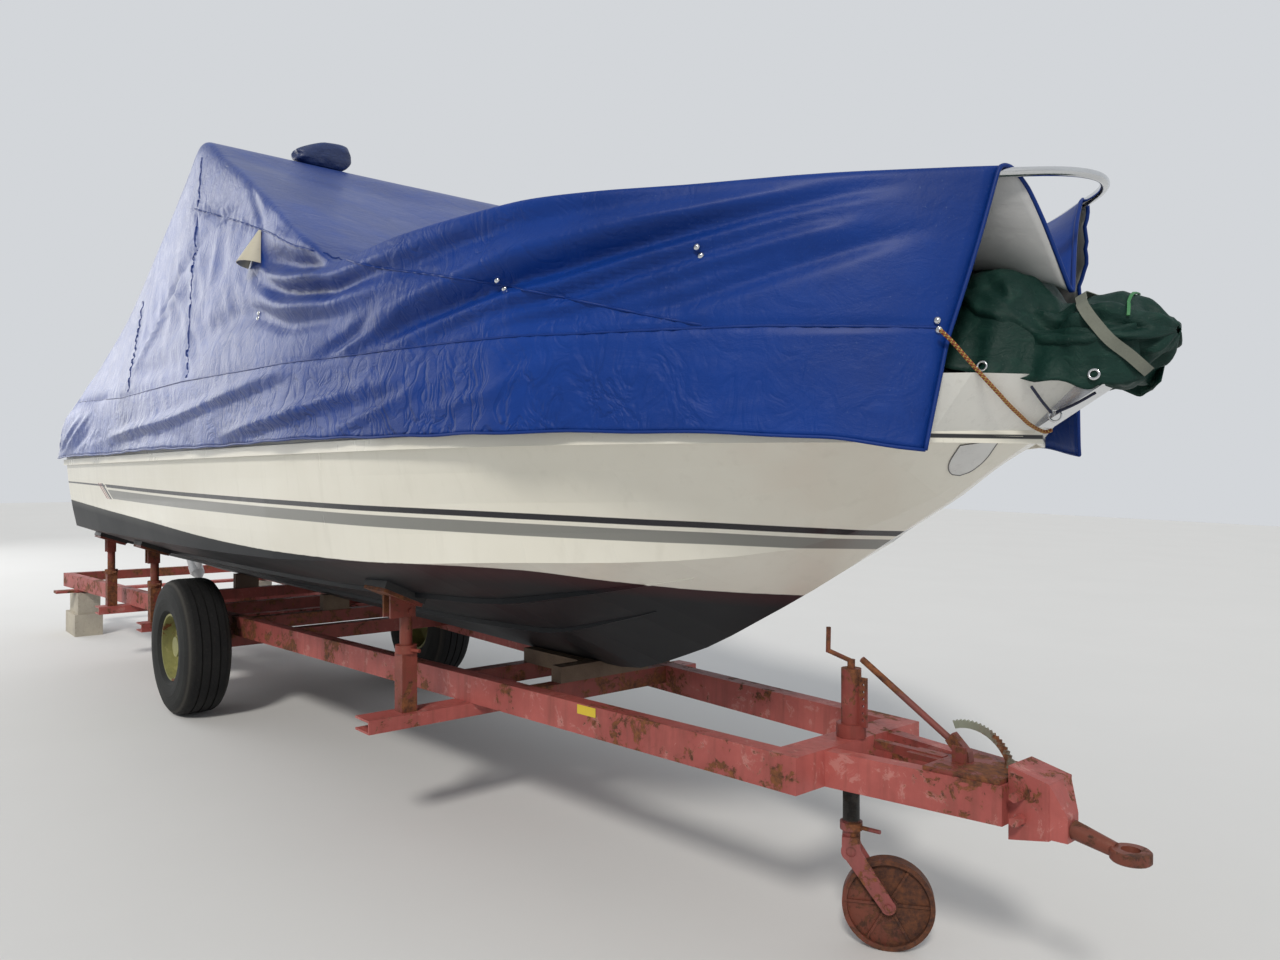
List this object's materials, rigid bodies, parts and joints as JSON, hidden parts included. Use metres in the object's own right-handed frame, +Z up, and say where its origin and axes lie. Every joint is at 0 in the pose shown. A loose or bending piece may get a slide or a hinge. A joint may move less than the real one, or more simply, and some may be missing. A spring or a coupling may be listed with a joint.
{
  "type": "covered sport cruiser on yard trailer",
  "caption": "Sport cruiser speedboat with bow rail and stern drive, under a peaked blue tarpaulin, on a two-wheel red yard trailer with jockey wheel and towing eye.",
  "frame": {"origin": "middle of the box, at floor level", "axes": "+X to the bow and the towing eye, +Y to port, +Z up"},
  "size_m": [9.2334, 2.434, 3.5245],
  "materials": {
    "gelcoat": "gloss",
    "deckcoat": "gloss",
    "black_rubber": "matt",
    "stainless": "polished",
    "blue_tarp": "satin",
    "green_tarp": "satin",
    "vent_plastic": "satin",
    "drive_paint": "satin",
    "prop_metal": "satin",
    "red_paint": "faded",
    "tyre_rubber": "matt",
    "rim_paint": "faded",
    "rusty_iron": "rusty",
    "lever_paint": "worn",
    "timber": "weathered",
    "concrete": "rough"
  },
  "bodies": {
    "boat_on_trailer": {"hull": "gelcoat", "deck": "deckcoat", "rub_strake": "black_rubber", "stem_plate": "stainless", "pulpit": "stainless", "side_rails": "stainless", "hoop_bar": "stainless", "hoop_legs": "stainless", "cover": "blue_tarp", "bow_cover": "green_tarp", "cover_vent": "vent_plastic", "lamp_bag": "blue_tarp", "drive_shield": "drive_paint", "port_beam": "red_paint", "starboard_beam": "red_paint", "front_member": "red_paint", "cross_members": "red_paint", "drawbar": "red_paint", "coupling_head": "red_paint", "towing_eye": "rusty_iron", "axle": "red_paint", "jockey_tube": "red_paint", "jockey_crank": "rusty_iron", "brake_lever": "lever_paint", "brake_quadrant": "lever_paint", "brake_rod": "red_paint", "support_arms": "red_paint", "support_posts": "red_paint", "support_pads": "black_rubber", "keel_blocks": "timber", "ground_blocks": "concrete"},
    "wheel_port": {"port_tyre": "tyre_rubber", "port_rim": "rim_paint"},
    "wheel_starboard": {"starboard_tyre": "tyre_rubber", "starboard_rim": "rim_paint"},
    "jockey_swivel": {"jockey_fork": "red_paint"},
    "jockey_roller": {"jockey_wheel": "rusty_iron"},
    "drive_steering": {"drive_yoke": "drive_paint"},
    "drive": {"drive_head": "drive_paint", "drive_leg": "drive_paint"},
    "screw": {"propeller": "prop_metal"}
  },
  "joints": [
    {"name": "wheel_port_spin", "type": "hinge", "parent": "boat_on_trailer", "child": "wheel_port", "pos_m": [-0.83349, 0.84, 0.4225], "axis": [0, 1, 0], "continuous": true},
    {"name": "wheel_starboard_spin", "type": "hinge", "parent": "boat_on_trailer", "child": "wheel_starboard", "pos_m": [-0.83349, -0.84, 0.4225], "axis": [0, 1, 0], "continuous": true},
    {"name": "jockey_swivel_turn", "type": "hinge", "parent": "boat_on_trailer", "child": "jockey_swivel", "pos_m": [3.62038, 0, 0.60654], "axis": [-0.0239, 0, 0.9997], "continuous": true},
    {"name": "jockey_wheel_spin", "type": "hinge", "parent": "jockey_swivel", "child": "jockey_roller", "pos_m": [3.7312, 0.06998, 0.15284], "axis": [-0.5734, 0.8192, -0.0137], "continuous": true},
    {"name": "drive_steer", "type": "hinge", "parent": "boat_on_trailer", "child": "drive_steering", "pos_m": [-3.08166, 0, 0.9464], "axis": [-0.0239, 0, 0.9997], "range_deg": [-30, 30]},
    {"name": "drive_tilt", "type": "hinge", "parent": "drive_steering", "child": "drive", "pos_m": [-3.08166, 0, 0.9464], "axis": [0, 1, 0], "range_deg": [-40, 12]},
    {"name": "propeller_spin", "type": "hinge", "parent": "drive", "child": "screw", "pos_m": [-3.79919, 0, 0.77736], "axis": [-0.7812, 0, 0.6243], "continuous": true}
  ]
}
